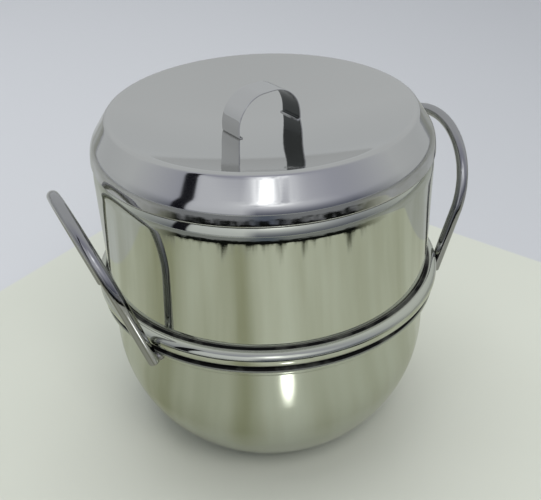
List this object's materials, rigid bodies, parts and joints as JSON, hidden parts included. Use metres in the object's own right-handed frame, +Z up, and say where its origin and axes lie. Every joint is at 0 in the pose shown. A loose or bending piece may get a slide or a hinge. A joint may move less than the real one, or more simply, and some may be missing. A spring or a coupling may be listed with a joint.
{
  "type": "stove-top steamer pot",
  "caption": "Polished steel steamer: round pot with bent-rod loop handles, lift-off steaming tier with perforated plate, and dished lid with a flat strap handle",
  "frame": {"origin": "centre of the pot's flat floor, on the surface that it stands on", "axes": "+Z is up along the vessels' common axis; +X and -X point through the two rod handles, each of which is set 1.4 degrees off that line towards -Y"},
  "size_m": [0.2962, 0.249, 0.2619],
  "materials": {
    "pot_steel": "polished, slightly satin stainless steel",
    "tier_steel": "mirror-polished stainless steel",
    "lid_steel": "mirror-polished stainless steel, softly satin dish",
    "rod_steel": "polished stainless steel rod",
    "strap_steel": "polished stainless steel strap",
    "weld_steel": "dressed weld bead",
    "plate_steel": "brushed stainless sheet"
  },
  "bodies": {
    "pot": {"pot_shell": "pot_steel", "pot_handle_right": "rod_steel", "pot_handle_left": "rod_steel", "handle_welds": "weld_steel"},
    "tier": {"steaming_tier_shell": "tier_steel"},
    "plate": {"steaming_plate": "plate_steel"},
    "lid": {"lid_shell": "lid_steel", "lid_strap_handle": "strap_steel"}
  },
  "joints": [
    {"name": "tier_lift", "type": "slide", "parent": "pot", "child": "tier", "axis": [0, 0, 1], "range_m": [0, 0.15]},
    {"name": "plate_lift", "type": "slide", "parent": "tier", "child": "plate", "axis": [0, 0, 1], "range_m": [0, 0.095]},
    {"name": "lid_lift", "type": "slide", "parent": "tier", "child": "lid", "axis": [0, 0, 1], "range_m": [0, 0.12]}
  ]
}
